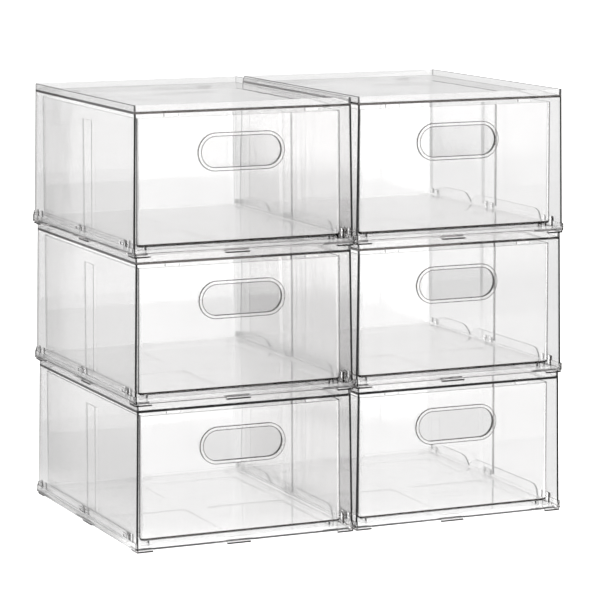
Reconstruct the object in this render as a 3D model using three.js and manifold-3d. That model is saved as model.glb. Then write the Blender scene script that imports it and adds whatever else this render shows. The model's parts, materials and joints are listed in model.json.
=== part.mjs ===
// A bank of clear stacking shoe drawers: two columns of three identical units.
// Each unit is a clip-on base tray, an open-fronted casing that clips over it,
// and a drawer that slides out of the front. A unit stands on the rim of the one below.
// Millimetres, +Z up, the fronts face -Y, origin at the bottom centre of the bank.

import * as THREE from 'three';
import { mergeVertices } from 'three/addons/utils/BufferGeometryUtils.js';
import Module from 'manifold-3d';

// ---- the bank ----
const COLUMN_NAMES = ['left', 'right'];
const TIER_NAMES = ['lower', 'middle', 'upper'];
const COLUMN_GAP = 0.4;
const TOUCH_GAP = 0.3;

// ---- casing ----
const CASE_WIDTH = 216;
const CASE_DEPTH = 279;
const CASE_HEIGHT = 128.5;
const WALL = 2.0;
const PANEL = 2.2;
const SIDE_DRAFT = 2.1;
const BACK_DRAFT = 2.0;
const CASE_CORNER = 4;
const RIM_HEIGHT = 6.1;
const RIM_WIDTH = 2.0;

// ---- base tray ----
const FOOT_HEIGHT = 2.4;
const FOOT_THICKNESS = 1.5;
const CORNER_FOOT_LEG = 16;
const MID_FOOT_LENGTH = 24;
const FRONT_FOOT_X = -7.5;
const SIDE_FOOT_Y = 136;
const PLATE = 2.2;
const PLATE_CORNER = 2.5;
const FRONT_OVERHANG = 2.7;
const LIP = 1.0;
const LIP_HEIGHT = 4.6;
const FRONT_LIP_HEIGHT = 2.6;
const FRONT_LIP_END = 4.5;
const POCKET_DEPTH = 1.0;
const POCKET_RADIUS = 6;
const CENTRE_BEAM = 20;
const CROSS_BEAM = 48;
const CROSS_BEAM_Y = 154;
const POCKET_MARGIN = 30;

// ---- spring clips, three on each side ----
const CLIP_INSET_FRONT = 25;
const CLIP_Y_MIDDLE = 146;
const CLIP_INSET_BACK = 12;
const CLIP_LENGTH = 16;
const CLIP_RISE = 4.3;
const CATCH_LENGTH = 10;
const CATCH_HEIGHT = 1.4;
const CATCH_DEPTH = 0.9;
const CATCH_CLEAR = 0.5;
const PRONG_LENGTH = 3;
const PRONG_THICKNESS = 1.6;
const PRONG_SPACING = 13;
const PRONG_RISE = 9.9;

// ---- drawer guides on the base ----
const GUIDE = 1.8;
const GUIDE_CLEAR = 1.0;
const GUIDE_RISE = 15.5;
const LOW_GUIDE_RISE = 7.9;
const GUIDE_FRONT = 30;
const GUIDE_BACK_INSET = 17;
const GUIDE_DIP_RISE = 6;
const GUIDE_ROUND = 13;
const GLIDE_WIDTH = 2;
const GLIDE_INSET = 8;
const GLIDE_HEIGHT = 3.1;

// ---- drawer ----
const DRAWER_SIDE_GAP = 4.6;
const DRAWER_TOP_GAP = 4.7;
const DRAWER_FRONT_INSET = 7.4;
const DRAWER_BACK_GAP = 4.0;
const DRAWER_DRAFT = 0.8;
const DRAWER_WALL = 1.8;
const DRAWER_FLOOR = 2.0;
const DRAWER_CORNER = 5;
const CHANNEL_Y = 137;
const CHANNEL_WIDTH = 34;
const CHANNEL_RAMP = 6;
const CHANNEL_DEPTH = 0.8;
const CHANNEL_DROP = 11.5;
const CHANNEL_RISE = 5;

// ---- finger hole ----
const HOLE_WIDTH = 79;
const HOLE_HEIGHT = 28.5;
const HOLE_DROP = 33.4;
const RING_WIDTH = 3.6;
const RING_PROUD = 1.2;

// ---- drawer stops ----
const STOP_X = 70;
const STOP_LENGTH = 14;
const STOP_THICKNESS = 2.5;
const STOP_SETBACK = 4;
const STOP_DROP = 3.4;
const TAB_RISE = 3.1;

// ---- worked out from the above ----
const plateBottom = FOOT_HEIGHT;
const plateTop = plateBottom + PLATE;
const caseBottom = plateTop + TOUCH_GAP;
const panelTop = caseBottom + CASE_HEIGHT;
const panelUnder = panelTop - PANEL;
const rimTop = panelTop + RIM_HEIGHT;
const tierPitch = rimTop + TOUCH_GAP - FOOT_HEIGHT;

const caseHalf = CASE_WIDTH / 2;
const caseFootHalf = caseHalf + SIDE_DRAFT;
const caseFootBack = CASE_DEPTH + BACK_DRAFT;

const lipInnerHalf = caseFootHalf + TOUCH_GAP;
const baseHalf = lipInnerHalf + LIP;
const lipInnerBack = caseFootBack + TOUCH_GAP;
const baseBack = lipInnerBack + LIP;
const baseFront = -FRONT_OVERHANG;
const columnPitch = 2 * baseHalf + COLUMN_GAP;

const drawerHalf = caseHalf - WALL - DRAWER_SIDE_GAP;
const drawerFront = DRAWER_FRONT_INSET;
const drawerBack = CASE_DEPTH - WALL - DRAWER_BACK_GAP;
const drawerTop = panelUnder - DRAWER_TOP_GAP;
const drawerBottom = plateTop + GLIDE_HEIGHT + TOUCH_GAP;

const clipPlaces = [CLIP_INSET_FRONT, CLIP_Y_MIDDLE, baseBack - CLIP_INSET_BACK];
const catchBottom = plateTop + LIP_HEIGHT + (CLIP_RISE - CATCH_HEIGHT) / 2 - CATCH_CLEAR;

const wasm = await Module();
wasm.setup();

// ---- solids: joining, cutting and shaping ----

function toSolid(geometry) {
  const bare = geometry.index ? geometry.toNonIndexed() : geometry;
  bare.deleteAttribute('normal');
  bare.deleteAttribute('uv');
  const merged = mergeVertices(bare, 1e-3);
  return new wasm.Manifold(new wasm.Mesh({
    numProp: 3,
    vertProperties: new Float32Array(merged.attributes.position.array),
    triVerts: new Uint32Array(merged.index.array),
  }));
}

function toGeometry(solid) {
  const mesh = solid.getMesh();
  const geometry = new THREE.BufferGeometry();
  geometry.setAttribute('position', new THREE.BufferAttribute(mesh.vertProperties, 3));
  geometry.setIndex(new THREE.BufferAttribute(mesh.triVerts, 1));
  geometry.computeVertexNormals();
  return geometry;
}

function join(solids) {
  return solids.reduce((whole, piece) => whole.add(piece));
}

function cut(solid, tools) {
  return tools.reduce((left, tool) => left.subtract(tool), solid);
}

// A box between two corners.
function block(x0, y0, z0, x1, y1, z1) {
  const geometry = new THREE.BoxGeometry(Math.abs(x1 - x0), Math.abs(y1 - y0), Math.abs(z1 - z0));
  geometry.translate((x0 + x1) / 2, (y0 + y1) / 2, (z0 + z1) / 2);
  return toSolid(geometry);
}

// A rectangle with one radius for its front corners and one for its back corners.
function outline(x0, y0, x1, y1, frontRadius, backRadius, Path = THREE.Shape) {
  const path = new Path();
  path.moveTo(x0 + frontRadius, y0);
  path.lineTo(x1 - frontRadius, y0);
  if (frontRadius > 0) {
    path.absarc(x1 - frontRadius, y0 + frontRadius, frontRadius, -Math.PI / 2, 0, false);
  }
  path.lineTo(x1, y1 - backRadius);
  path.absarc(x1 - backRadius, y1 - backRadius, backRadius, 0, Math.PI / 2, false);
  path.lineTo(x0 + backRadius, y1);
  path.absarc(x0 + backRadius, y1 - backRadius, backRadius, Math.PI / 2, Math.PI, false);
  path.lineTo(x0, y0 + frontRadius);
  if (frontRadius > 0) {
    path.absarc(x0 + frontRadius, y0 + frontRadius, frontRadius, Math.PI, Math.PI * 1.5, false);
  }
  return path;
}

function extrudeUp(shape, z0, z1, curveSegments = 2) {
  const geometry = new THREE.ExtrudeGeometry(shape, { depth: z1 - z0, bevelEnabled: false, curveSegments });
  geometry.translate(0, 0, z0);
  return geometry;
}

// Leans the walls of an upright solid: at the bottom they stand out by side, front and back.
function lean(geometry, zTop, zBottom, side, front, back, yMiddle) {
  const position = geometry.attributes.position;
  for (let i = 0; i < position.count; i += 1) {
    const share = (zTop - position.getZ(i)) / (zTop - zBottom);
    const alongY = position.getY(i) > yMiddle ? back : -front;
    position.setX(i, position.getX(i) + Math.sign(position.getX(i)) * side * share);
    position.setY(i, position.getY(i) + alongY * share);
  }
  return geometry;
}

function leanCase(geometry) {
  return toSolid(lean(geometry, panelTop, caseBottom, SIDE_DRAFT, 0, BACK_DRAFT, CASE_DEPTH / 2));
}

function leanDrawer(geometry) {
  const draft = -DRAWER_DRAFT;
  return toSolid(lean(geometry, drawerTop, drawerBottom, draft, draft, draft, CASE_DEPTH / 2));
}

// ---- casing: top panel with a stacking rim, two sides and a back ----

function caseBody() {
  const outside = outline(-caseHalf, 0, caseHalf, CASE_DEPTH, 0, CASE_CORNER);
  const inner = caseHalf - WALL;
  const innerCorner = Math.max(CASE_CORNER - WALL, 0.5);
  const inside = outline(-inner, -CASE_DEPTH / 4, inner, CASE_DEPTH - WALL, 0, innerCorner);
  const cavity = leanCase(extrudeUp(inside, caseBottom - 1, panelUnder));
  return leanCase(extrudeUp(outside, caseBottom, panelTop)).subtract(cavity);
}

function rim() {
  const ring = outline(-caseHalf, 0, caseHalf, CASE_DEPTH, 0, CASE_CORNER);
  const inner = caseHalf - RIM_WIDTH;
  const innerCorner = Math.max(CASE_CORNER - RIM_WIDTH, 0.5);
  ring.holes.push(outline(-inner, RIM_WIDTH, inner, CASE_DEPTH - RIM_WIDTH, 0, innerCorner, THREE.Path));
  return toSolid(extrudeUp(ring, panelTop - PANEL / 2, rimTop));
}

// The small ledge that a clip hooks over.
function caseCatch(side, y) {
  const inner = side * (caseFootHalf - WALL / 2);
  const outer = side * (caseFootHalf + CATCH_DEPTH - SIDE_DRAFT * (catchBottom - caseBottom) / CASE_HEIGHT);
  const half = CATCH_LENGTH / 2;
  return block(inner, y - half, catchBottom, outer, y + half, catchBottom + CATCH_HEIGHT);
}

// Hangs from the panel behind the front edge and meets the drawer's tab at full travel.
function caseStop(side) {
  const x = side * STOP_X;
  const half = STOP_LENGTH / 2;
  const back = STOP_SETBACK + STOP_THICKNESS;
  return block(x - half, STOP_SETBACK, panelUnder - STOP_DROP, x + half, back, panelUnder + PANEL / 2);
}

function casing() {
  const pieces = [caseBody(), rim()];
  for (const side of [-1, 1]) {
    pieces.push(caseStop(side));
    for (const y of clipPlaces) {
      pieces.push(caseCatch(side, y));
    }
  }
  return join(pieces);
}

// ---- base tray: plate, lip, clips, guides, glides and feet ----

function plate() {
  const shape = outline(-baseHalf, baseFront, baseHalf, baseBack, PLATE_CORNER, PLATE_CORNER);
  return toSolid(extrudeUp(shape, plateBottom, plateTop));
}

// Four shallow pockets leave a centre beam, a cross beam and a border.
function pockets() {
  const tools = [];
  const floor = plateTop - POCKET_DEPTH;
  const outer = drawerHalf - GLIDE_INSET - GLIDE_WIDTH - 1;
  const inner = CENTRE_BEAM / 2;
  const spans = [
    [POCKET_MARGIN, CROSS_BEAM_Y - CROSS_BEAM / 2],
    [CROSS_BEAM_Y + CROSS_BEAM / 2, CASE_DEPTH - POCKET_MARGIN],
  ];
  for (const [y0, y1] of spans) {
    const shape = outline(inner, y0, outer, y1, POCKET_RADIUS, POCKET_RADIUS);
    const tool = toSolid(extrudeUp(shape, floor, plateTop + 1, 1));
    tools.push(tool, tool.mirror([1, 0, 0]));
  }
  return tools;
}

function lip() {
  const shape = outline(-baseHalf, baseFront, baseHalf, baseBack, PLATE_CORNER, PLATE_CORNER);
  const corner = PLATE_CORNER - LIP;
  const inside = outline(
    -lipInnerHalf, baseFront + LIP, lipInnerHalf, lipInnerBack, corner, corner, THREE.Path);
  shape.holes.push(inside);
  const wall = toSolid(extrudeUp(shape, plateTop - PLATE / 2, plateTop + LIP_HEIGHT));
  const end = baseHalf - FRONT_LIP_END;
  const low = plateTop + FRONT_LIP_HEIGHT;
  return wall.subtract(block(-end, baseFront - 1, low, end, baseFront + LIP + 1, low + LIP_HEIGHT));
}

// A raised stretch of the lip with a window for the casing's catch.
function clipTab(side, y) {
  const inner = side * lipInnerHalf;
  const outer = side * baseHalf;
  const half = CLIP_LENGTH / 2;
  const bottom = plateTop + LIP_HEIGHT / 2;
  return block(inner, y - half, bottom, outer, y + half, plateTop + LIP_HEIGHT + CLIP_RISE);
}

function clipWindow(side, y) {
  const half = CATCH_LENGTH / 2 + CATCH_CLEAR;
  const bottom = catchBottom - CATCH_CLEAR;
  const top = catchBottom + CATCH_HEIGHT + CATCH_CLEAR;
  return block(side * (lipInnerHalf - 1), y - half, bottom, side * (baseHalf + 1), y + half, top);
}

// Two upright tongues just inside the casing wall at each clip.
function prongs(side, y) {
  const outer = caseFootHalf - WALL - 2 * TOUCH_GAP;
  const inner = outer - PRONG_THICKNESS;
  return [-1, 1].map((end) => {
    const middle = y - PRONG_LENGTH + end * PRONG_SPACING / 2;
    const half = PRONG_LENGTH / 2;
    const bottom = plateTop - PLATE / 2;
    return block(side * inner, middle - half, bottom, side * outer, middle + half, plateTop + PRONG_RISE);
  });
}

// One long upright guide with a rounded front end, a dip at the middle clip and a falling tail.
function guideProfile() {
  const bottom = plateTop - PLATE / 2;
  const top = plateTop + GUIDE_RISE;
  const low = plateTop + GUIDE_DIP_RISE;
  const back = baseBack - GUIDE_BACK_INSET;
  const dip = CLIP_Y_MIDDLE + CLIP_LENGTH * 2;
  const shape = new THREE.Shape();
  shape.moveTo(GUIDE_FRONT, bottom);
  shape.lineTo(back, bottom);
  shape.lineTo(back, low);
  shape.quadraticCurveTo(back - GUIDE_ROUND, top, back - 2.5 * GUIDE_ROUND, top);
  shape.lineTo(dip + 1.5 * GUIDE_ROUND, top);
  shape.quadraticCurveTo(dip + GUIDE_ROUND * 0.6, top, dip, low);
  shape.quadraticCurveTo(dip - GUIDE_ROUND * 0.6, top, dip - 1.5 * GUIDE_ROUND, top);
  shape.lineTo(GUIDE_FRONT + GUIDE_ROUND, top);
  shape.quadraticCurveTo(GUIDE_FRONT, top, GUIDE_FRONT, top - GUIDE_ROUND);
  return shape;
}

// The guide on the left is lower and straight, with both ends rounded.
function lowGuideProfile() {
  const bottom = plateTop - PLATE / 2;
  const top = plateTop + LOW_GUIDE_RISE;
  const back = baseBack - GUIDE_BACK_INSET;
  const round = Math.min(GUIDE_ROUND, LOW_GUIDE_RISE) / 2;
  const shape = new THREE.Shape();
  shape.moveTo(GUIDE_FRONT, bottom);
  shape.lineTo(back, bottom);
  shape.lineTo(back, top - round);
  shape.quadraticCurveTo(back, top, back - round, top);
  shape.lineTo(GUIDE_FRONT + round, top);
  shape.quadraticCurveTo(GUIDE_FRONT, top, GUIDE_FRONT, top - round);
  return shape;
}

function guide(side) {
  const profile = side > 0 ? guideProfile() : lowGuideProfile();
  const geometry = new THREE.ExtrudeGeometry(profile, {
    depth: GUIDE, bevelEnabled: false, curveSegments: 6,
  });
  geometry.rotateY(Math.PI / 2);
  geometry.rotateX(Math.PI / 2);
  geometry.translate(drawerHalf + GUIDE_CLEAR, 0, 0);
  const solid = toSolid(geometry);
  return side > 0 ? solid : solid.mirror([1, 0, 0]);
}

// The rib that carries the drawer's floor.
function glide(side) {
  const outer = side * (drawerHalf - GLIDE_INSET);
  const inner = outer - side * GLIDE_WIDTH;
  const y0 = DRAWER_FRONT_INSET * 2;
  return block(inner, y0, plateTop - PLATE / 2, outer, drawerBack - y0 / 2, plateTop + GLIDE_HEIGHT);
}

// Feet hang just outside the rim of the unit below and locate it.
function feet() {
  const inX = caseHalf + TOUCH_GAP;
  const outX = inX + FOOT_THICKNESS;
  const inFront = -TOUCH_GAP;
  const outFront = inFront - FOOT_THICKNESS;
  const inBack = CASE_DEPTH + TOUCH_GAP;
  const outBack = inBack + FOOT_THICKNESS;
  const top = plateBottom + PLATE / 2;
  const half = MID_FOOT_LENGTH / 2;
  const solids = [
    block(FRONT_FOOT_X - half, outFront, 0, FRONT_FOOT_X + half, inFront, top),
    block(-half, inBack, 0, half, outBack, top),
  ];
  for (const side of [-1, 1]) {
    const legX = side * (outX - CORNER_FOOT_LEG);
    solids.push(
      block(side * inX, SIDE_FOOT_Y - half, 0, side * outX, SIDE_FOOT_Y + half, top),
      block(side * inX, outFront, 0, side * outX, outFront + CORNER_FOOT_LEG, top),
      block(legX, outFront, 0, side * outX, inFront, top),
      block(side * inX, outBack - CORNER_FOOT_LEG, 0, side * outX, outBack, top),
      block(legX, inBack, 0, side * outX, outBack, top),
    );
  }
  return solids;
}

function base() {
  const pieces = [cut(plate(), pockets()), lip(), ...feet()];
  const windows = [];
  for (const side of [-1, 1]) {
    pieces.push(guide(side), glide(side));
    for (const y of clipPlaces) {
      pieces.push(clipTab(side, y), ...prongs(side, y));
      windows.push(clipWindow(side, y));
    }
  }
  return cut(join(pieces), windows);
}

// ---- drawer: an open tub with a finger hole and a channel in each side ----

function drawerTub() {
  const outside = outline(
    -drawerHalf, drawerFront, drawerHalf, drawerBack, DRAWER_CORNER, DRAWER_CORNER);
  const inner = drawerHalf - DRAWER_WALL;
  const corner = DRAWER_CORNER - DRAWER_WALL;
  const inside = outline(
    -inner, drawerFront + DRAWER_WALL, inner, drawerBack - DRAWER_WALL, corner, corner);
  const cavity = leanDrawer(extrudeUp(inside, drawerBottom + DRAWER_FLOOR, drawerTop + 1));
  const bulge = channel(drawerHalf);
  const groove = channel(inner);
  const body = join([leanDrawer(extrudeUp(outside, drawerBottom, drawerTop)), bulge, bulge.mirror([1, 0, 0])]);
  return cut(body, [cavity, groove, groove.mirror([1, 0, 0])]);
}

// A shallow upright channel standing out from a wall face, with a ramp on each side.
function channel(face) {
  const half = CHANNEL_WIDTH / 2;
  const flat = half - CHANNEL_RAMP;
  const shape = new THREE.Shape();
  shape.moveTo(face - CHANNEL_DEPTH, CHANNEL_Y - half);
  shape.lineTo(face, CHANNEL_Y - half);
  shape.lineTo(face + CHANNEL_DEPTH, CHANNEL_Y - flat);
  shape.lineTo(face + CHANNEL_DEPTH, CHANNEL_Y + flat);
  shape.lineTo(face, CHANNEL_Y + half);
  shape.lineTo(face - CHANNEL_DEPTH, CHANNEL_Y + half);
  return leanDrawer(extrudeUp(shape, drawerBottom + CHANNEL_RISE, drawerTop - CHANNEL_DROP));
}

// A pill-shaped prism lying along Y.
function pill(width, height, y0, y1) {
  const radius = height / 2;
  const straight = width / 2 - radius;
  const shape = new THREE.Shape();
  shape.absarc(straight, 0, radius, -Math.PI / 2, Math.PI / 2, false);
  shape.absarc(-straight, 0, radius, Math.PI / 2, Math.PI * 1.5, false);
  const geometry = new THREE.ExtrudeGeometry(shape, {
    depth: y1 - y0, bevelEnabled: false, curveSegments: 5,
  });
  geometry.rotateX(Math.PI / 2);
  geometry.translate(0, y1, drawerTop - HOLE_DROP);
  return toSolid(geometry);
}

function drawerTab(side) {
  const x = side * STOP_X;
  const half = STOP_LENGTH / 2;
  const y0 = drawerBack - DRAWER_WALL;
  return block(x - half, y0, drawerTop - DRAWER_WALL, x + half, drawerBack, drawerTop + TAB_RISE);
}

function drawer() {
  const tilt = DRAWER_DRAFT * HOLE_DROP / (drawerTop - drawerBottom);
  const face = drawerFront + tilt;
  const behind = face + DRAWER_WALL;
  const ring = pill(HOLE_WIDTH + 2 * RING_WIDTH, HOLE_HEIGHT + 2 * RING_WIDTH, face - RING_PROUD, behind);
  const hole = pill(HOLE_WIDTH, HOLE_HEIGHT, face - 2 * RING_PROUD, behind + 2 * RING_PROUD);
  return cut(join([drawerTub(), ring, drawerTab(-1), drawerTab(1)]), [hole]);
}

// ---- materials ----

function clearPlastic(color) {
  return new THREE.MeshStandardMaterial({
    color, roughness: 0.06, metalness: 0, transparent: true, opacity: 0.35,
  });
}

const casingPlastic = clearPlastic(0xe8e9e9);
const basePlastic = clearPlastic(0xdcdcdc);
const drawerPlastic = clearPlastic(0xf2f2f3);

// ---- the bank ----

const casingGeometry = toGeometry(casing());
const baseGeometry = toGeometry(base());
const drawerGeometry = toGeometry(drawer());

function unit(name) {
  const group = new THREE.Group();
  const pieces = [
    ['base', baseGeometry, basePlastic],
    ['casing', casingGeometry, casingPlastic],
    ['drawer', drawerGeometry, drawerPlastic],
  ];
  for (const [piece, geometry, material] of pieces) {
    const mesh = new THREE.Mesh(geometry, material);
    mesh.name = `${name}_${piece}`;
    group.add(mesh);
  }
  return group;
}

const bank = new THREE.Group();
bank.position.y = -(baseFront + baseBack) / 2;
TIER_NAMES.forEach((tier, level) => {
  COLUMN_NAMES.forEach((column, place) => {
    const group = unit(`${tier}_${column}`);
    group.position.x = (place - (COLUMN_NAMES.length - 1) / 2) * columnPitch;
    group.position.z = level * tierPitch;
    bank.add(group);
  });
});

export default bank;
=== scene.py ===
"""Looks of a bank of clear stacking shoe drawers: a Blender add-on that also runs as a script."""

import json
import math

import bmesh
import bpy
from bpy.props import FloatProperty, FloatVectorProperty, PointerProperty, StringProperty
from mathutils import Euler, Matrix, Vector


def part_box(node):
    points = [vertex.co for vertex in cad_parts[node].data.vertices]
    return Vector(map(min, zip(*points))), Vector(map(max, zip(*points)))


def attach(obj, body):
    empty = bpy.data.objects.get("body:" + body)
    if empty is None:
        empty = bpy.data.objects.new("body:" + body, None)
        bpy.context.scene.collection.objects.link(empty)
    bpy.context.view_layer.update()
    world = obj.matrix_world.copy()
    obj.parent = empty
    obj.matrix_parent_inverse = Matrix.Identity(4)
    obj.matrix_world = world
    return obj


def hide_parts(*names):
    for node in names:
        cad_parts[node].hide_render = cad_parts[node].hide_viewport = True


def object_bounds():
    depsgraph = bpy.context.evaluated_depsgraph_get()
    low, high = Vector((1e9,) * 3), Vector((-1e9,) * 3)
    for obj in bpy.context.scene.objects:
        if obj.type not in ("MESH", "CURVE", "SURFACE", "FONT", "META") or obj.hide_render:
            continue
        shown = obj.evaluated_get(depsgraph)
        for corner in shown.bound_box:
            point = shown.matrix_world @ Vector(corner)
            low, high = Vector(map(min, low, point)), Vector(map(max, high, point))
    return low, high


bl_info = {
    "name": "Clear Shoe Drawers",
    "version": (1, 0, 0),
    "blender": (4, 5, 0),
    "location": "View3D > Sidebar > Shoe Drawers",
    "description": "Builds a bank of clear stacking shoe drawers with its stage",
    "category": "Object",
}

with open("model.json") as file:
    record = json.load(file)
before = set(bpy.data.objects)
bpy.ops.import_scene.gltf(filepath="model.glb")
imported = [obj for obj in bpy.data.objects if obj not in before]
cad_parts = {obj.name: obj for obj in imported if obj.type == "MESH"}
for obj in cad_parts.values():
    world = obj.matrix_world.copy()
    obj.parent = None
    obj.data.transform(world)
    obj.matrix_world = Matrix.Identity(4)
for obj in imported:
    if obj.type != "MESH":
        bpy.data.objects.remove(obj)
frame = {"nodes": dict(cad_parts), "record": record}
CAD_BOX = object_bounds()
MM = 0.001

# The distance from the base tray's front edge to the front plane of the casing.
FRONT_OVERHANG = 2.7 * MM

# Heights on the base tray over the bottom of its feet.
FOOT_EDGE = 1.3 * MM
FOOT_TOP = 2.3 * MM
PLATE_TOP = 4.6 * MM
LIP_TOP = 9.2 * MM

# The height and width of the painted highlight band on the tray's lip, and how far the guides'
# inner faces are from the tray's middle; the faces beyond them get painted shade.
LIP_HIGHLIGHT_HEIGHT = 0.8 * MM
LIP_HIGHLIGHT_WIDTH = 1.1 * MM
GUIDE_INNER = 102 * MM

# The casing's ledges under the clips, in millimetres.
LEDGE_PLACES = (25, 146, 270.3)
LEDGE_REACH = 5
LEDGE_LOW = 10.15
LEDGE_HIGH = 11.55
LEDGE_PROUD = 0.9

# The drawer stops under the casing's top panel and the tabs that meet them, in millimetres.
STOP_PLACE = 70
STOP_REACH = 7
STOP_FRONT = 4
STOP_BACK = 6.5
STOP_DROP = 3.4
TAB_RISE = 3.1

# Radii of the softened edges, the slope inside the rim, and the depth of the painted shade band.
SOFT_EDGE = 0.3 * MM
BASE_SOFT_EDGE = 0.35 * MM
RIM_SLOPE = 0.3 * MM
SHADE_BAND = 0.35 * MM

# The angles in degrees between a channel's ramps and the wall, and the part of a ramp's length that
# its rounding takes.
RAMP_ANGLES = (4, 10)
RAMP_PARTS = 5

# The parts of the fillet under a drawer's front that stay clear of painted shade, in degrees below
# level.
CLEAR_BANDS = ((-91, 3), (30, 45), (88, 91))

# How near counts as the same place, how near a cut snaps to a corner, and how straight is flat.
NEAR = 0.1 * MM
SNAP = 1e-7
FLAT = 0.99999

# Places of the painted shade and the painted highlight in each piece's list of materials.
PAINTED_SHADE = 1
PAINTED_HIGHLIGHT = 2

# The side cards leave this angle clear on each side of the line of sight, in degrees, and their
# edges fade over a distance in metres.
SIGHT_SPREAD = 5.2
CARD_FADE = 0.12

# The left sides are seen from this much further to the left than the middle, in degrees, and the
# left card begins at this share of the way from the middle to the left side.
LEFT_TURN = 4.2
LEFT_SHARE = 0.8

# The side cards change from dim to bright between these places along Y, in metres.
FAR_RANGE = (0.3, 1.0)

# Values of the noise between which the plastic goes from polished to dull.
DULL_RANGE = (0.35, 0.75)

# The upward share of a direction between which the light goes from low to high.
SKY_RANGE = (0.2, 0.34)

# The setting that makes a range change smoothly.
SMOOTH = {"interpolation_type": "SMOOTHSTEP"}

# Half the width of the floor in metres, and how far the floor and the cards lie under the feet.
FLOOR_REACH = 30
FLOOR_DROP = 0.4 * MM
CARD_DROP = 0.2 * MM


def unit_names():
    """The units, named by tier and column."""
    return sorted(name[: -len("_base")] for name in frame["nodes"] if name.endswith("_base"))


def unit_origin(unit):
    """The point under the middle of a unit's front plane, at the bottom of its feet."""
    low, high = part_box(unit + "_base")
    return Vector(((low.x + high.x) / 2, low.y + FRONT_OVERHANG, low.z))


def body_of(node):
    """The body that a CAD node moves with."""
    bodies = frame["record"]["behaviour"]["bodies"]
    return next(body for body, nodes in bodies.items() if node in nodes)


# ---------------------------------------------------------------- settings


def length(name, description, default_mm):
    """A length property, given in millimetres and kept in metres."""
    return FloatProperty(
        name=name, description=description, default=default_mm * MM, unit="LENGTH", precision=5)


def number(name, description, default, subtype="NONE"):
    """A plain number or a factor."""
    return FloatProperty(
        name=name, description=description, default=default, subtype=subtype)


def colour(name, description, default):
    """A colour, kept as a hex value."""
    return StringProperty(
        name=name, description=description + " as an sRGB hex value", default=default)


class CasingSizes(bpy.types.PropertyGroup):
    """Sizes of the open-fronted casing."""

    width: length("Width", "Outside width at the rim", 216)
    depth: length("Depth", "Outside depth at the rim", 279)
    bottom: length("Bottom", "Height of the lower edge over the feet", 4.9)
    panel_top: length("Panel top", "Height of the top panel's upper face", 133.4)
    rim_top: length("Rim top", "Height of the stacking rim", 139.5)
    wall: length("Wall", "Thickness of the sides and back", 2.0)
    panel: length("Panel", "Thickness of the top panel", 2.2)
    rim_width: length("Rim width", "Thickness of the stacking rim", 2.0)
    # Painted shade: the rim's sides above this height get the near-black edge tint.
    rim_shade_line: length("Rim line", "Height of the dark line along the rim's sides", 0.5)
    side_draft: length("Side draft", "How far each side stands out at the bottom", 2.1)
    back_draft: length("Back draft", "How far the back stands out at the bottom", 2.0)
    corner: length("Corner radius", "Radius of the back corners", 4)


class DrawerSizes(bpy.types.PropertyGroup):
    """Sizes of the sliding drawer."""

    half_width: length("Half width", "Half the outside width at the top", 101.4)
    front: length("Front", "Setback of the front face at the top", 7.4)
    back: length("Back", "Distance of the back face from the front plane", 273)
    bottom: length("Bottom", "Height of the underside", 8.0)
    top: length("Top", "Height of the upper edge", 126.5)
    draft: length("Draft", "How far each wall leans in at the bottom", 0.8)
    wall: length("Wall", "Thickness of the walls", 1.8)
    corner: length("Corner radius", "Radius of the upright corners", 5)
    fillet: length("Fillet", "Radius between the walls and the floor", 3.0)
    channel_place: length(
        "Channel place", "Distance of the side channels' middle from the front plane", 137)
    channel_width: length("Channel width", "Width of the side channels over their ramps", 34)
    channel_ramp: length("Channel ramp", "Length of the ramp on each side of a channel", 6)
    channel_depth: length("Channel depth", "How far the side channels bulge outwards", 0.8)
    channel_drop: length(
        "Channel drop", "Distance of the channels' tops below the upper edge", 11.5)
    channel_rise: length("Channel rise", "Height of the channels' lower ends over the underside", 5)
    hole_width: length("Hole width", "Width of the finger hole", 79)
    hole_height: length("Hole height", "Height of the finger hole", 28.5)
    hole_drop: length("Hole drop", "Distance of the hole's centre below the upper edge", 33.4)
    ring_width: length("Ring width", "Width of the raised ring round the hole", 3.6)
    # Painted shade: a near-black line of this width runs along each edge of the ring.
    ring_shade_line: length("Ring line", "Width of the dark line along each edge of the ring", 0.6)
    ring_proud: length("Ring height", "How far the ring stands proud", 1.2)


class PlasticLooks(bpy.types.PropertyGroup):
    """Colours and finish of the clear plastic."""

    tint: colour("Tint", "Surface tint", "FDFDFD")
    depth_tint: colour("Depth tint", "Colour of thick plastic", "8C7F7C")
    depth_density: number("Depth density", "How fast the plastic darkens with depth", 20.0)
    base_density: number("Base density", "How fast the thinner base tray darkens with depth", 5.0)
    roughness: number("Roughness", "Roughness of the polished face", 0.01, "FACTOR")
    dull_roughness: number(
        "Dull roughness", "Roughness where hands have dulled it", 0.03, "FACTOR")
    # Roughness of the painted highlight bands.
    highlight_band_roughness: number("Satin roughness", "Roughness of the satin bands", 0.45, "FACTOR")
    patch_size: length("Patch size", "Size of the dulled patches", 25)
    wave_length: length("Wave length", "Length of the waves that cooling leaves in the faces", 45)
    wave_height: length("Wave height", "Height of the waves that cooling leaves in the faces", 0.06)
    ior: number("Refractive index", "Index of clear polystyrene", 1.57)
    # Painted shade: the near-black tint and low index of the cut edges.
    edge_shade_tint: colour("Edge tint", "Colour of the cut edges", "332E2C")
    edge_shade_ior: number("Edge index", "Index that sets the edges' reflection", 1.25)
    # Painted highlight: the whitish, half-clear satin bands.
    highlight_band_tint: colour("Satin tint", "Colour of the satin bands", "F6F6F6")
    highlight_band_clearness: number(
        "Satin clearness", "How much light the satin bands let through", 0.3)


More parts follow.
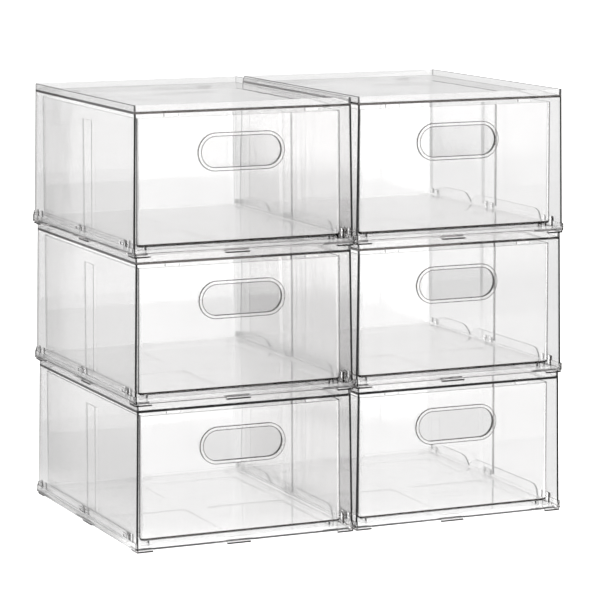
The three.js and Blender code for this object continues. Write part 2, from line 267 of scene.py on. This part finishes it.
class StageLooks(bpy.types.PropertyGroup):
    """Floor, light and camera."""

    focal: number("Focal length", "Lens focal length in millimetres", 176.9)
    camera_place: FloatVectorProperty(
        name="Camera place", description="Camera location in metres",
        default=(-1.1548, -2.6307, 0.6463))
    camera_turn: FloatVectorProperty(
        name="Camera turn", description="Pitch, roll and yaw", subtype="EULER",
        default=(1.4177, 0.0016, -0.4157))
    floor_colour: colour("Floor", "Floor colour", "F7F7F7")
    floor_glow: number("Floor glow", "Light given by the floor itself", 0.93)
    low_sky: number("Low light", "Light from just above the horizon", 1.0)
    high_sky: number("High light", "Light from the softboxes overhead", 1.5)
    side_card: number("Side cards", "Brightness of the cards at the sides", 0.46)
    left_card: number("Left card", "Brightness of the card on the left", 0.81)
    far_gain: number("Far gain", "How much brighter the side cards are far away", 0.11)
    back_card: number("Back card", "Brightness of the card behind", 0.92)
    front_card: number("Front card", "Brightness of the card in front", 2.7)


# ---------------------------------------------------------------- meshes


def skin_box(bm, low, high):
    """Adds a box between two corners."""
    low, high = Vector(low), Vector(high)
    place = Matrix.Translation((low + high) / 2) @ Matrix.Diagonal((*(high - low), 1))
    bmesh.ops.create_cube(bm, size=1, matrix=place)


def round_edges(bm, edges, radius, segments):
    """Rounds edges to a radius."""
    bmesh.ops.bevel(
        bm, geom=list(edges), offset=radius, offset_type="OFFSET", segments=segments,
        profile=0.5, affect="EDGES", material=-1, clamp_overlap=True)


def axis_vector(axis, amount):
    """A vector along an axis."""
    vector = Vector((0, 0, 0))
    vector[axis] = amount
    return vector


def facing(faces, axis, sign):
    """The flat faces that look along an axis."""
    way = axis_vector(axis, sign)
    found = []
    for face in faces:
        face.normal_update()
        if face.normal.dot(way) > FLAT:
            found.append(face)
    return found


def lying_at(faces, axis, place):
    """The faces whose middle lies at a place on an axis."""
    return [face for face in faces if abs(face.calc_center_median()[axis] - place) < NEAR]


def edges_of(faces):
    """The edges of some faces, each once."""
    return list({edge for face in faces for edge in face.edges})


def verts_of(faces):
    """The corners of some faces, each once."""
    return list({vert for face in faces for vert in face.verts})


def thicken(bm, wall):
    """Gives an open skin a wall on its inner side, closed around its edge."""
    bmesh.ops.recalc_face_normals(bm, faces=bm.faces)
    bmesh.ops.solidify(bm, geom=list(bm.faces), thickness=wall)


def upright_edges(faces, keep):
    """The vertical edges whose middle passes a test."""
    return [
        edge for edge in edges_of(faces)
        if (edge.verts[0].co.xy - edge.verts[1].co.xy).length < SNAP
        and keep((edge.verts[0].co + edge.verts[1].co) / 2)]


def cut_across(bm, faces, axis, place):
    """Cuts faces where they cross a place on an axis, and returns the parts."""
    geom = list(faces) + edges_of(faces) + verts_of(faces)
    normal = axis_vector(axis, 1)
    made = bmesh.ops.bisect_plane(
        bm, geom=geom, dist=SNAP, plane_co=normal * place, plane_no=normal)
    return [item for item in made["geom"] if isinstance(item, bmesh.types.BMFace)]


def raise_patch(bm, faces, low, high, push, taper=None):
    """Cuts a patch between two corners out of flat faces and pushes it by a vector.

    A taper narrows the pushed face by that much on both sides, along one axis."""
    axes = [axis for axis in range(3) if not push[axis]]
    patch = faces
    for axis in axes:
        for place in (low[axis], high[axis]):
            patch = cut_across(bm, patch, axis, place)
    inside = [
        face for face in patch
        if all(low[axis] < face.calc_center_median()[axis] < high[axis] for axis in axes)]
    made = bmesh.ops.extrude_face_region(bm, geom=inside)
    moved = [item for item in made["geom"] if isinstance(item, bmesh.types.BMVert)]
    bmesh.ops.translate(bm, verts=moved, vec=Vector(push))
    bmesh.ops.delete(bm, geom=inside, context="FACES_ONLY")
    if taper:
        axis, amount = taper
        middle = (low[axis] + high[axis]) / 2
        for vert in moved:
            vert.co[axis] -= math.copysign(amount, vert.co[axis] - middle)


def lean_walls(bm, top, bottom, side, front, back, middle):
    """Stands upright walls out towards the bottom, as a mould's draft does."""
    for vert in bm.verts:
        share = max((top - vert.co.z) / (top - bottom), 0)
        vert.co.x += math.copysign(side, vert.co.x) * share
        vert.co.y += (back if vert.co.y > middle else -front) * share


def mark(faces, finish):
    """Gives faces one of the piece's materials."""
    for face in faces:
        face.material_index = finish


def soften(bm, radius, segments=2, sharper_than=35):
    """Rounds every sharp edge a little."""
    bmesh.ops.remove_doubles(bm, verts=bm.verts, dist=1e-6)
    limit = math.radians(sharper_than)
    sharp = [edge for edge in bm.edges if edge.is_manifold and edge.calc_face_angle(0) > limit]
    round_edges(bm, sharp, radius, segments)


def casing_mesh(sizes):
    """Top panel sunk inside a rim, two sides and a back, open in front and below."""
    bm = bmesh.new()
    half = sizes.width / 2
    under = sizes.panel_top - sizes.panel
    skin_box(bm, (-half, 0, sizes.bottom), (half, sizes.depth, sizes.rim_top))
    round_edges(bm, upright_edges(bm.faces, lambda co: co.y > sizes.depth / 2), sizes.corner,
                segments=8)
    bmesh.ops.delete(bm, geom=facing(bm.faces, 1, -1) + facing(bm.faces, 2, -1), context="FACES")
    thicken(bm, sizes.wall)
    ceiling = facing(bm.faces, 2, -1)
    ceiling = [face for face in ceiling if face.calc_center_median().z > sizes.panel_top]
    drop = under - (sizes.rim_top - sizes.wall)
    bmesh.ops.translate(bm, verts=verts_of(ceiling), vec=(0, 0, drop))
    top = [face for face in facing(bm.faces, 2, 1) if face.calc_center_median().z > sizes.panel_top]
    bmesh.ops.inset_region(bm, faces=top, thickness=sizes.rim_width, use_even_offset=True)
    bmesh.ops.inset_region(
        bm, faces=top, thickness=RIM_SLOPE, depth=sizes.panel_top - sizes.rim_top,
        use_even_offset=True)
    cut_across(bm, facing(bm.faces, 1, -1), 2, sizes.panel_top)
    line = sizes.rim_top - sizes.rim_shade_line
    cut_across(bm, facing(bm.faces, 0, -1) + facing(bm.faces, 0, 1), 2, line)
    add_casing_details(bm, sizes)
    lean_walls(
        bm, sizes.panel_top, sizes.bottom, side=sizes.side_draft, front=0, back=sizes.back_draft,
        middle=sizes.depth / 2)
    soften(bm, SOFT_EDGE)
    # Painted shade: the walls' front ends and the rim's sides above the line get the near-black
    # edge tint.
    for face in bm.faces:
        face.normal_update()
        middle = face.calc_center_median()
        shaded_front_end = middle.y < SHADE_BAND and middle.z < sizes.panel_top
        if shaded_front_end or (middle.z > line and abs(face.normal.x) > 0.5):
            face.material_index = PAINTED_SHADE
    return bm


def add_casing_details(bm, sizes):
    """The ledges under the clips and the drawer stops."""
    half = sizes.width / 2
    under = sizes.panel_top - sizes.panel
    for side in (-1, 1):
        for place in LEDGE_PLACES:
            outside = lying_at(facing(bm.faces, 0, side), 0, side * half)
            low = (0, (place - LEDGE_REACH) * MM, LEDGE_LOW * MM)
            high = (0, (place + LEDGE_REACH) * MM, LEDGE_HIGH * MM)
            raise_patch(bm, outside, low, high, (side * LEDGE_PROUD * MM, 0, 0))
        ceiling = lying_at(facing(bm.faces, 2, -1), 2, under)
        low = ((side * STOP_PLACE - STOP_REACH) * MM, STOP_FRONT * MM, 0)
        high = ((side * STOP_PLACE + STOP_REACH) * MM, STOP_BACK * MM, 0)
        raise_patch(bm, ceiling, low, high, (0, 0, -STOP_DROP * MM))


def pill_loop(bm, width, height, y, z, segments=48):
    """A pill-shaped loop of edges standing across Y."""
    turn = Matrix.Rotation(math.radians(90), 4, "X") @ Matrix.Rotation(math.pi / segments, 4, "Z")
    place = Matrix.Translation((0, y, z)) @ turn
    made = bmesh.ops.create_circle(
        bm, cap_ends=False, segments=segments, radius=height / 2, matrix=place)
    straight = (width - height) / 2
    for vert in made["verts"]:
        vert.co.x += math.copysign(straight, vert.co.x)
    return list({edge for vert in made["verts"] for edge in vert.link_edges})


def draw_out(bm, loop, move, centre_z=0, straight=0, widen=0):
    """Extrudes a pill loop by a vector and widens it all round."""
    made = bmesh.ops.extrude_edge_only(bm, edges=loop)["geom"]
    verts = [item for item in made if isinstance(item, bmesh.types.BMVert)]
    for vert in verts:
        vert.co += Vector(move)
        arc_centre = Vector((math.copysign(straight, vert.co.x), vert.co.y, centre_z))
        vert.co += (vert.co - arc_centre).normalized() * widen
    return [item for item in made if isinstance(item, bmesh.types.BMEdge)]


def drawer_mesh(sizes):
    """An open tub with filleted edges and a finger hole inside a raised ring."""
    bm = bmesh.new()
    half = sizes.half_width
    skin_box(bm, (-half, sizes.front, sizes.bottom), (half, sizes.back, sizes.top))
    round_edges(bm, upright_edges(bm.faces, lambda co: True), sizes.corner, segments=8)
    round_edges(bm, edges_of(facing(bm.faces, 2, -1)), sizes.fillet, segments=6)
    bmesh.ops.delete(bm, geom=facing(bm.faces, 2, 1), context="FACES")
    thicken(bm, sizes.wall)
    add_channels(bm, sizes)
    paint_front_fillet_shade(bm)
    cut_finger_hole(bm, sizes)
    for side in (-1, 1):
        top = [
            face for face in lying_at(facing(bm.faces, 2, 1), 2, sizes.top)
            if face.calc_center_median().y > sizes.back - sizes.wall]
        low = ((side * STOP_PLACE - STOP_REACH) * MM, 0, 0)
        high = ((side * STOP_PLACE + STOP_REACH) * MM, 1, 0)
        raise_patch(bm, top, low, high, (0, 0, TAB_RISE * MM))
    inward = -sizes.draft
    lean_walls(
        bm, sizes.top, sizes.bottom, side=inward, front=inward, back=inward,
        middle=sizes.back / 2)
    soften(bm, SOFT_EDGE, sharper_than=50)
    # Painted shade: a near-black band along the top of the walls.
    shaded_upper_edge = sizes.top - SHADE_BAND
    mark([face for face in bm.faces if face.calc_center_median().z > shaded_upper_edge], PAINTED_SHADE)
    return bm


def add_channels(bm, sizes):
    """Presses an upright channel into each side, with soft ramps."""
    reach = sizes.channel_width / 2
    low = (0, sizes.channel_place - reach, sizes.bottom + sizes.channel_rise)
    high = (0, sizes.channel_place + reach, sizes.top - sizes.channel_drop)
    for side in (-1, 1):
        for sign, place in ((side, sizes.half_width), (-side, sizes.half_width - sizes.wall)):
            wall = lying_at(facing(bm.faces, 0, sign), 0, side * place)
            push = (side * sizes.channel_depth, 0, 0)
            raise_patch(bm, wall, low, high, push, taper=(1, sizes.channel_ramp))
    least, most = (math.radians(angle) for angle in RAMP_ANGLES)
    ramps = [
        edge for edge in bm.edges
        if edge.is_manifold and least < edge.calc_face_angle(0) < most
        and low[1] - MM < edge.verts[0].co.y < high[1] + MM]
    round_edges(bm, ramps, sizes.channel_ramp / RAMP_PARTS, segments=2)


def paint_front_fillet_shade(bm):
    """Paints shade on two bands of the fillet under the front, with a clear band between them."""
    for face in bm.faces:
        face.normal_update()
        below = math.degrees(math.asin(max(min(-face.normal.z, 1), -1)))
        clear = any(low < below < high for low, high in CLEAR_BANDS)
        if face.normal.y < -0.1 and not clear:
            face.material_index = PAINTED_SHADE


def cut_finger_hole(bm, sizes):
    """Opens the front wall and stands a ring around the hole."""
    centre_z = sizes.top - sizes.hole_drop
    straight = (sizes.hole_width - sizes.hole_height) / 2
    inner = pill_loop(bm, sizes.hole_width, sizes.hole_height, sizes.front + sizes.wall, centre_z)
    proud = draw_out(bm, inner, (0, -sizes.wall - sizes.ring_proud, 0))
    # Painted shade: a near-black line along each edge of the ring, with a clear band between.
    line = sizes.ring_shade_line
    ring_shade_bands = ((line, PAINTED_SHADE), (sizes.ring_width - 2 * line, 0), (line, PAINTED_SHADE))
    rim = proud
    for width, finish in ring_shade_bands:
        before = set(bm.faces)
        rim = draw_out(bm, rim, (0, 0, 0), centre_z, straight, width)
        mark([face for face in bm.faces if face not in before], finish)
    outer = draw_out(bm, rim, (0, sizes.ring_proud, 0))
    for side, loop in ((-1, outer), (1, inner)):
        front_faces = [
            face for face in facing(bm.faces, 1, side)
            if face.calc_center_median().y < sizes.front + 2 * sizes.wall]
        wall = [max(front_faces, key=lambda face: face.calc_area())]
        outline = edges_of(wall)
        bmesh.ops.delete(bm, geom=wall, context="FACES_ONLY")
        bmesh.ops.triangle_fill(bm, edges=outline + loop, use_beauty=True, use_dissolve=False)
    bmesh.ops.recalc_face_normals(bm, faces=bm.faces)


def base_mesh(unit, origin):
    """The base tray: its solid, cleaned of needless edges, with the sharp ones softened."""
    bm = bmesh.new()
    bm.from_mesh(frame["nodes"][unit + "_base"].data)
    bmesh.ops.remove_doubles(bm, verts=bm.verts, dist=2e-6)
    bmesh.ops.dissolve_limit(
        bm, angle_limit=math.radians(1), use_dissolve_boundaries=False,
        verts=bm.verts, edges=bm.edges)
    bmesh.ops.translate(bm, verts=bm.verts, vec=-origin)
    paint_base_shade_and_highlights(bm)
    soften(bm, BASE_SOFT_EDGE)
    return bm


def paint_base_shade_and_highlights(bm):
    """Paints shade on the feet, clips and guides' tops, and highlight bands on the lip and front.
    """
    low = Vector([min(vert.co[axis] for vert in bm.verts) for axis in range(3)])
    high = Vector([max(vert.co[axis] for vert in bm.verts) for axis in range(3)])
    sides = [face for side in (-1, 1) for face in facing(bm.faces, 0, side)]
    flank = [face for face in sides if abs(face.calc_center_median().x) > high.x - NEAR]
    cut_across(bm, flank, 2, LIP_TOP - LIP_HIGHLIGHT_HEIGHT)
    feet = [face for face in bm.faces if face.calc_center_median().z < FOOT_TOP]
    cut_across(bm, feet, 2, FOOT_EDGE)
    for face in bm.faces:
        face.normal_update()
        middle = face.calc_center_median()
        in_lip_highlight = abs(middle.x) > high.x - LIP_HIGHLIGHT_WIDTH
        # Painted shade on the feet and guides' tops; painted highlight on the plate's front and the
        # lip's top band.
        if middle.z < FOOT_EDGE:
            face.material_index = PAINTED_SHADE
        elif face.normal.y < -0.9 and middle.y < low.y + NEAR and middle.z < PLATE_TOP:
            face.material_index = PAINTED_HIGHLIGHT
        elif in_lip_highlight and LIP_TOP - LIP_HIGHLIGHT_HEIGHT < middle.z < LIP_TOP + NEAR:
            face.material_index = PAINTED_HIGHLIGHT
        elif middle.z > PLATE_TOP and abs(face.normal.x) < 0.5 and abs(middle.x) > GUIDE_INNER:
            face.material_index = PAINTED_SHADE


def place_piece(bm, unit, kind, materials):
    """Puts a copy of a unit's piece where its node is and ties it to the frame."""
    node = f"{unit}_{kind}"
    mesh = bpy.data.meshes.new(node + "_finish")
    bm.to_mesh(mesh)
    mesh.transform(Matrix.Translation(unit_origin(unit)))
    mesh.shade_smooth()
    for material in materials:
        mesh.materials.append(material)
    piece = bpy.data.objects.new(node + "_finish", mesh)
    bpy.context.scene.collection.objects.link(piece)
    weighted = piece.modifiers.new("Weighted Normal", "WEIGHTED_NORMAL")
    weighted.mode = "FACE_AREA"
    weighted.weight = 100
    weighted.keep_sharp = True
    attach(piece, body_of(node))
    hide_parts(node)


# ---------------------------------------------------------------- materials


def linear(text):
    """An sRGB hex value as a linear colour."""
    values = [int(text[place:place + 2], 16) / 255 for place in (0, 2, 4)]
    return (*[v / 12.92 if v <= 0.04045 else ((v + 0.055) / 1.055) ** 2.4 for v in values], 1)


def add_node(tree, kind, settings=None, links=None):
    """Adds a node, sets its values and inputs, and links inputs to other sockets."""
    node = tree.nodes.new(kind)
    for name, value in (settings or {}).items():
        if isinstance(name, int) or name in node.inputs:
            node.inputs[name].default_value = value
        else:
            setattr(node, name, value)
    for name, socket in (links or {}).items():
        tree.links.new(socket, node.inputs[name])
    return node


def new_tree(name):
    """A new material and its empty node tree."""
    material = bpy.data.materials.new(name)
    material.use_nodes = True
    material.node_tree.nodes.clear()
    return material, material.node_tree


def moulded_polystyrene(name, looks, density):
    """Clear polystyrene from a polished mould: glass-like faces that darken with depth.

    The melt cools unevenly, so reflections swim a little, and handling leaves duller patches."""
    material, tree = new_tree(name)
    place = add_node(tree, "ShaderNodeTexCoord").outputs["Object"]
    flow = add_node(
        tree, "ShaderNodeTexNoise", {"Scale": 1 / looks.wave_length, "Detail": 1.0},
        {"Vector": place})
    waves = add_node(
        tree, "ShaderNodeBump", {"Strength": 1.0, "Distance": looks.wave_height},
        {"Height": flow.outputs["Fac"]})
    handling = add_node(
        tree, "ShaderNodeTexNoise", {"Scale": 1 / looks.patch_size, "Detail": 3.0},
        {"Vector": place})
    dullness = add_node(
        tree, "ShaderNodeMapRange",
        SMOOTH | {
            "From Min": DULL_RANGE[0], "From Max": DULL_RANGE[1],
            "To Min": looks.roughness, "To Max": looks.dull_roughness},
        {"Value": handling.outputs["Fac"]})
    surface = add_node(
        tree, "ShaderNodeBsdfPrincipled",
        {"Base Color": linear(looks.tint), "IOR": looks.ior, "Transmission Weight": 1.0},
        {"Roughness": dullness.outputs["Result"], "Normal": waves.outputs["Normal"]})
    inside = add_node(tree, "ShaderNodeVolumeAbsorption", {
        "Color": linear(looks.depth_tint), "Density": density})
    add_node(tree, "ShaderNodeOutputMaterial", links={
        "Surface": surface.outputs["BSDF"], "Volume": inside.outputs["Volume"]})
    return material


def painted_shade_edge(looks):
    """Painted shade: near-black cut edges, standing in for the dark look of trapped light."""
    name = "Painted shade on polystyrene edges"
    if name in bpy.data.materials:
        return bpy.data.materials[name]
    material, tree = new_tree(name)
    surface = add_node(tree, "ShaderNodeBsdfPrincipled", {
        "Base Color": linear(looks.edge_shade_tint), "Roughness": looks.roughness,
        "IOR": looks.edge_shade_ior, "Transmission Weight": 1.0})
    add_node(tree, "ShaderNodeOutputMaterial", {}, {"Surface": surface.outputs["BSDF"]})
    return material


def painted_highlight_band(looks):
    """Painted highlight: a whitish, half-clear satin band standing in for an edge's bright line."""
    material, tree = new_tree("Painted highlight band on polystyrene")
    surface = add_node(tree, "ShaderNodeBsdfPrincipled", {
        "Base Color": linear(looks.highlight_band_tint), "Roughness": looks.highlight_band_roughness,
        "IOR": looks.ior, "Transmission Weight": looks.highlight_band_clearness})
    add_node(tree, "ShaderNodeOutputMaterial", {}, {"Surface": surface.outputs["BSDF"]})
    return material


def light_table(looks):
    """Matt white board lit from below, so that shadows on it stay faint."""
    material, tree = new_tree("Matt white light table")
    surface = add_node(tree, "ShaderNodeBsdfPrincipled", {
        "Base Color": linear(looks.floor_colour), "Roughness": 0.9, "Specular IOR Level": 0.0,
        "Emission Color": (1, 1, 1, 1), "Emission Strength": looks.floor_glow})
    add_node(tree, "ShaderNodeOutputMaterial", {}, {"Surface": surface.outputs["BSDF"]})
    return material


def card_paper(looks):
    """Paper cards around the set: white behind, grey at both sides and bright in front.

    The bright card lights reflections only, so plain views through the plastic stay white."""
    material, tree = new_tree("Reflector cards")
    place = add_node(tree, "ShaderNodeTexCoord").outputs["Object"]
    camera = (looks.camera_place[0], looks.camera_place[1], 0)
    sides = {}
    for number, side in enumerate((-1, 1)):
        angle = looks.camera_turn[2] - side * math.radians(SIGHT_SPREAD)
        outward = (side * math.cos(angle), side * math.sin(angle), 0)
        seen = add_node(
            tree, "ShaderNodeVectorMath", {"operation": "SUBTRACT", 1: camera}, {0: place})
        beside = add_node(
            tree, "ShaderNodeVectorMath", {"operation": "DOT_PRODUCT", 1: outward},
            {0: seen.outputs["Vector"]})
        clear = add_node(
            tree, "ShaderNodeMapRange",
            SMOOTH | {"From Min": 0.0, "From Max": CARD_FADE, "To Min": 1, "To Max": 0},
            {"Value": beside.outputs["Value"]})
        sides[number] = clear.outputs["Result"]
    white = add_node(tree, "ShaderNodeMath", {"operation": "MULTIPLY"}, sides)
    turn = looks.camera_turn[2] + math.radians(LEFT_TURN)
    across = add_node(
        tree, "ShaderNodeVectorMath",
        {"operation": "DOT_PRODUCT", 1: (math.cos(turn), -math.sin(turn), 0)}, {0: place})
    left = CAD_BOX[0].x
    grey = add_node(
        tree, "ShaderNodeMapRange",
        SMOOTH | {
            "From Min": left * LEFT_SHARE - CARD_FADE / 4,
            "From Max": left * LEFT_SHARE + CARD_FADE / 4,
            "To Min": looks.left_card, "To Max": looks.side_card},
        {"Value": across.outputs["Value"]})
    axes = add_node(tree, "ShaderNodeSeparateXYZ", {}, {"Vector": place}).outputs
    far = add_node(
        tree, "ShaderNodeMapRange",
        SMOOTH | {
            "From Min": FAR_RANGE[0], "From Max": FAR_RANGE[1],
            "To Min": 1 - looks.far_gain, "To Max": 1 + looks.far_gain},
        {"Value": axes["Y"]})
    side_tone = add_node(
        tree, "ShaderNodeMath", {"operation": "MULTIPLY"},
        {0: grey.outputs["Result"], 1: far.outputs["Result"]})
    tone = add_node(
        tree, "ShaderNodeMix", {"data_type": "FLOAT", 3: looks.back_card},
        {0: white.outputs[0], 2: side_tone.outputs[0]})
    setback = add_node(
        tree, "ShaderNodeMapRange",
        SMOOTH | {
            "From Min": left - CARD_FADE, "From Max": left,
            "To Min": CARD_FADE, "To Max": 0},
        {"Value": axes["X"]})
    ahead = add_node(
        tree, "ShaderNodeMath", {"operation": "ADD"},
        {0: axes["Y"], 1: setback.outputs["Result"]})
    near = add_node(
        tree, "ShaderNodeMapRange",
        SMOOTH | {
            "From Min": -CARD_FADE / 3, "From Max": -CARD_FADE * 4 / 3,
            "To Min": 0, "To Max": 1},
        {"Value": ahead.outputs[0]})
    reflections = add_node(tree, "ShaderNodeLightPath").outputs["Glossy Depth"]
    reflected = add_node(
        tree, "ShaderNodeMath", {"operation": "GREATER_THAN", 1: 0.5}, {0: reflections})
    front = add_node(
        tree, "ShaderNodeMath", {"operation": "MULTIPLY"},
        {0: near.outputs["Result"], 1: reflected.outputs[0]})
    bright = add_node(
        tree, "ShaderNodeMix", {"data_type": "FLOAT", 3: looks.front_card},
        {0: front.outputs[0], 2: tone.outputs[0]})
    glow = add_node(tree, "ShaderNodeEmission", {}, {"Strength": bright.outputs[0]})
    add_node(tree, "ShaderNodeOutputMaterial", {}, {"Surface": glow.outputs["Emission"]})
    return material


# ---------------------------------------------------------------- operators


def build_all(kind, bm, materials):
    """Places a copy of a piece in every unit."""
    for unit in unit_names():
        place_piece(bm, unit, kind, materials)
    bm.free()


class SHOE_OT_casings(bpy.types.Operator):
    """Model the open-fronted casings"""

    bl_idname = "shoe.casings"
    bl_label = "Casings"

    def execute(self, context):
        sizes = context.scene.shoe_casing
        looks = context.scene.shoe_plastic
        material = moulded_polystyrene("Clear polystyrene casing", looks, looks.depth_density)
        build_all("casing", casing_mesh(sizes), [material, painted_shade_edge(looks)])
        return {"FINISHED"}


class SHOE_OT_drawers(bpy.types.Operator):
    """Model the sliding drawers"""

    bl_idname = "shoe.drawers"
    bl_label = "Drawers"

    def execute(self, context):
        sizes = context.scene.shoe_drawer
        looks = context.scene.shoe_plastic
        material = moulded_polystyrene("Clear polystyrene drawer", looks, looks.depth_density)
        build_all("drawer", drawer_mesh(sizes), [material, painted_shade_edge(looks)])
        return {"FINISHED"}


class SHOE_OT_bases(bpy.types.Operator):
    """Model the clip-on base trays"""

    bl_idname = "shoe.bases"
    bl_label = "Base trays"

    def execute(self, context):
        looks = context.scene.shoe_plastic
        material = moulded_polystyrene("Clear polystyrene base", looks, looks.base_density)
        first = unit_names()[0]
        materials = [material, painted_shade_edge(looks), painted_highlight_band(looks)]
        build_all("base", base_mesh(first, unit_origin(first)), materials)
        return {"FINISHED"}


class SHOE_OT_stage(bpy.types.Operator):
    """Make the floor, the light and the camera"""

    bl_idname = "shoe.stage"
    bl_label = "Stage"

    def execute(self, context):
        scene = context.scene
        looks = scene.shoe_stage
        make_floor(looks)
        make_light(scene, looks)
        make_camera(scene, looks)
        scene.view_settings.view_transform = "Standard"
        scene.cycles.max_bounces = 32
        scene.cycles.transmission_bounces = 32
        scene.cycles.glossy_bounces = 16
        return {"FINISHED"}


def flat_square(name, height, material):
    """A wide level square on the stage."""
    bm = bmesh.new()
    place = Matrix.Translation((0, 0, height))
    bmesh.ops.create_grid(bm, x_segments=1, y_segments=1, size=FLOOR_REACH, matrix=place)
    mesh = bpy.data.meshes.new(name)
    bm.to_mesh(mesh)
    bm.free()
    mesh.materials.append(material)
    square = bpy.data.objects.new(name, mesh)
    bpy.context.scene.collection.objects.link(square)
    return square


def make_floor(looks):
    """The floor, and the cards that only show in reflections and through the plastic."""
    level = CAD_BOX[0].z
    flat_square("floor", level - FLOOR_DROP, light_table(looks))
    cards = flat_square("cards", level - CARD_DROP, card_paper(looks))
    cards.visible_camera = False
    cards.visible_diffuse = False
    cards.visible_shadow = False


def make_light(scene, looks):
    """Dim light near the horizon and soft light from above."""
    world = bpy.data.worlds.new("Soft studio")
    world.use_nodes = True
    tree = world.node_tree
    tree.nodes.clear()
    way = add_node(tree, "ShaderNodeTexCoord").outputs["Generated"]
    height = add_node(tree, "ShaderNodeSeparateXYZ", {}, {"Vector": way}).outputs["Z"]
    strength = add_node(
        tree, "ShaderNodeMapRange",
        SMOOTH | {
            "From Min": SKY_RANGE[0], "From Max": SKY_RANGE[1],
            "To Min": looks.low_sky, "To Max": looks.high_sky},
        {"Value": height})
    sky = add_node(tree, "ShaderNodeBackground", {}, {"Strength": strength.outputs["Result"]})
    add_node(tree, "ShaderNodeOutputWorld", {}, {"Surface": sky.outputs["Background"]})
    scene.world = world


def make_camera(scene, looks):
    """The camera that takes the main view."""
    data = bpy.data.cameras.new("camera")
    data.sensor_width = 36
    data.lens = looks.focal
    data.clip_end = 100
    camera = bpy.data.objects.new("camera", data)
    camera.location = looks.camera_place
    camera.rotation_euler = Euler(looks.camera_turn)
    scene.collection.objects.link(camera)
    scene.camera = camera


class SHOE_PT_panel(bpy.types.Panel):
    """Lists the pieces and their settings"""

    bl_idname = "SHOE_PT_panel"
    bl_label = "Shoe Drawers"
    bl_space_type = "VIEW_3D"
    bl_region_type = "UI"
    bl_category = "Shoe Drawers"

    def draw(self, context):
        for group in GROUPS:
            box = self.layout.box()
            settings = getattr(context.scene, group)
            for name in settings.bl_rna.properties.keys():
                if name not in ("rna_type", "name"):
                    box.prop(settings, name)
        for operator in OPERATORS:
            self.layout.operator(operator.bl_idname)


GROUPS = {
    "shoe_casing": CasingSizes,
    "shoe_drawer": DrawerSizes,
    "shoe_plastic": PlasticLooks,
    "shoe_stage": StageLooks,
}
OPERATORS = (SHOE_OT_casings, SHOE_OT_drawers, SHOE_OT_bases, SHOE_OT_stage)
CLASSES = (*GROUPS.values(), *OPERATORS, SHOE_PT_panel)


def register():
    """Adds the classes and the settings to Blender."""
    for cls in CLASSES:
        bpy.utils.register_class(cls)
    for name, group in GROUPS.items():
        setattr(bpy.types.Scene, name, PointerProperty(type=group))


def unregister():
    """Takes the settings and the classes out again."""
    for name in GROUPS:
        delattr(bpy.types.Scene, name)
    for cls in reversed(CLASSES):
        bpy.utils.unregister_class(cls)


def main():
    """Builds everything."""
    register()
    bpy.ops.shoe.casings()
    bpy.ops.shoe.drawers()
    bpy.ops.shoe.bases()
    bpy.ops.shoe.stage()


if __name__ == "__main__":
    main()
